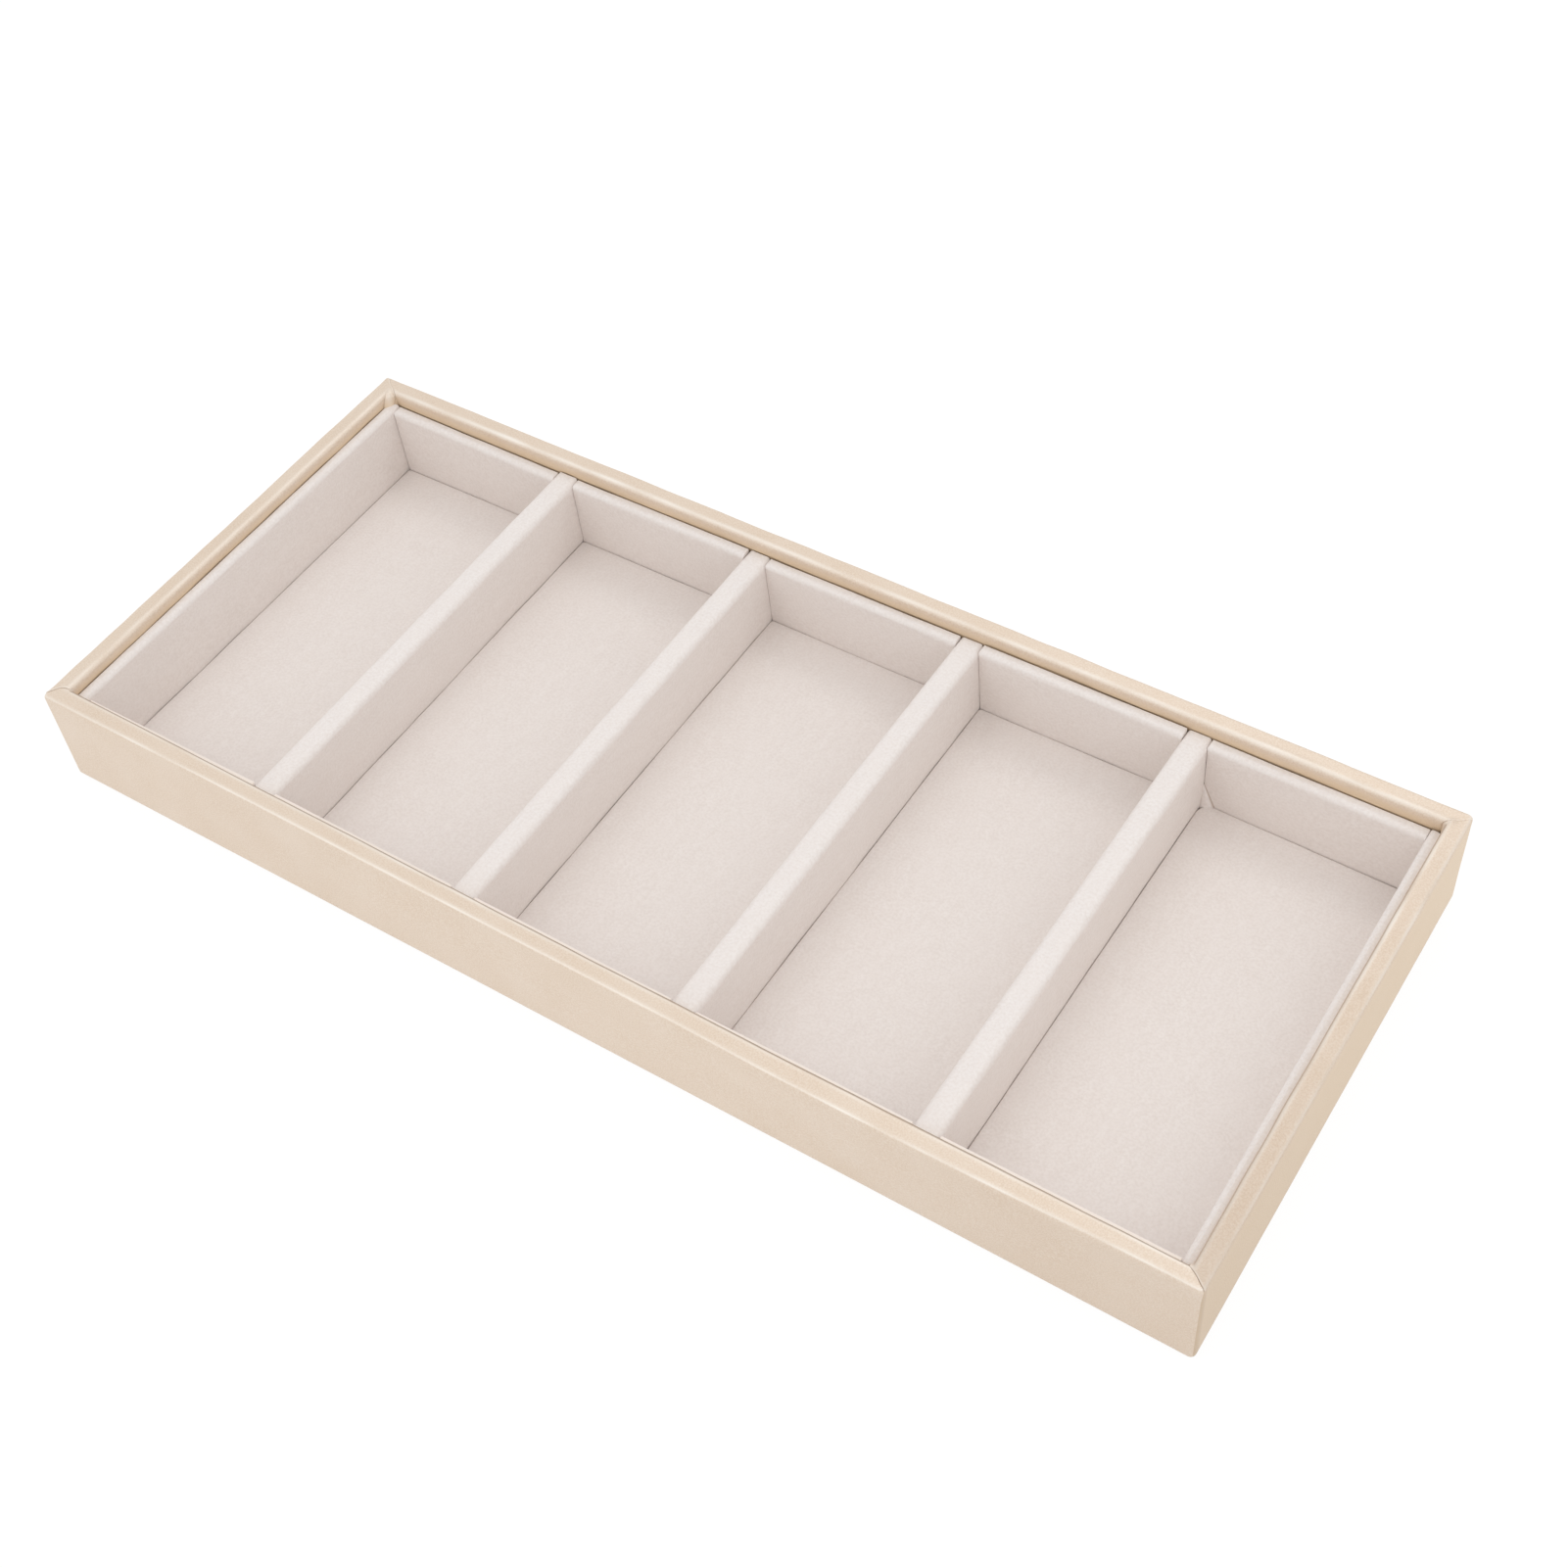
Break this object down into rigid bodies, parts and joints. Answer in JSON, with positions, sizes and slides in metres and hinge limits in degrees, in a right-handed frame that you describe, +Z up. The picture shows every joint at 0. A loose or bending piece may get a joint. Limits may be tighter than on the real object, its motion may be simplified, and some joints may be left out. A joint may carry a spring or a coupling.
{
  "type": "glasses organizer tray",
  "caption": "Shallow board tray wrapped in pearl leatherette, with suede-lined compartments for folded glasses and suede-covered dividers that lift out.",
  "frame": {"origin": "middle of the underside, on the surface that the tray stands on", "axes": "+X along the tray's length to the right, +Y from the front wall to the back wall, +Z up"},
  "size_m": [0.42, 0.181, 0.04],
  "materials": {
    "leatherette": "pearl, fine grain",
    "suede": "short nap, matt",
    "card": "bare greyboard",
    "board": "bare fibreboard",
    "bottom_paper": "matt backing sheet"
  },
  "bodies": {
    "case": {"base_board": "board", "back_wall_board": "board", "front_wall_board": "board", "left_wall_board": "board", "right_wall_board": "board", "bottom_sheet": "bottom_paper", "leather_wrap": "leatherette", "left_liner_card": "card", "right_liner_card": "card", "back_liner_card_1": "card", "back_liner_card_2": "card", "back_liner_card_3": "card", "back_liner_card_4": "card", "back_liner_card_5": "card", "front_liner_card_1": "card", "front_liner_card_2": "card", "front_liner_card_3": "card", "front_liner_card_4": "card", "front_liner_card_5": "card", "floor_card_1": "card", "floor_card_2": "card", "floor_card_3": "card", "floor_card_4": "card", "floor_card_5": "card", "left_liner_suede": "suede", "right_liner_suede": "suede", "back_liner_suede_1": "suede", "back_liner_suede_2": "suede", "back_liner_suede_3": "suede", "back_liner_suede_4": "suede", "back_liner_suede_5": "suede", "front_liner_suede_1": "suede", "front_liner_suede_2": "suede", "front_liner_suede_3": "suede", "front_liner_suede_4": "suede", "front_liner_suede_5": "suede", "floor_suede_1": "suede", "floor_suede_2": "suede", "floor_suede_3": "suede", "floor_suede_4": "suede", "floor_suede_5": "suede"},
    "divider_1": {"divider_board_1": "board", "divider_suede_1": "suede"},
    "divider_2": {"divider_board_2": "board", "divider_suede_2": "suede"},
    "divider_3": {"divider_board_3": "board", "divider_suede_3": "suede"},
    "divider_4": {"divider_board_4": "board", "divider_suede_4": "suede"}
  },
  "joints": [
    {"name": "divider_1_lift", "type": "slide", "parent": "case", "child": "divider_1", "axis": [0, 0, 1], "range_m": [0, 0.0372]},
    {"name": "divider_2_lift", "type": "slide", "parent": "case", "child": "divider_2", "axis": [0, 0, 1], "range_m": [0, 0.0372]},
    {"name": "divider_3_lift", "type": "slide", "parent": "case", "child": "divider_3", "axis": [0, 0, 1], "range_m": [0, 0.0372]},
    {"name": "divider_4_lift", "type": "slide", "parent": "case", "child": "divider_4", "axis": [0, 0, 1], "range_m": [0, 0.0372]}
  ]
}
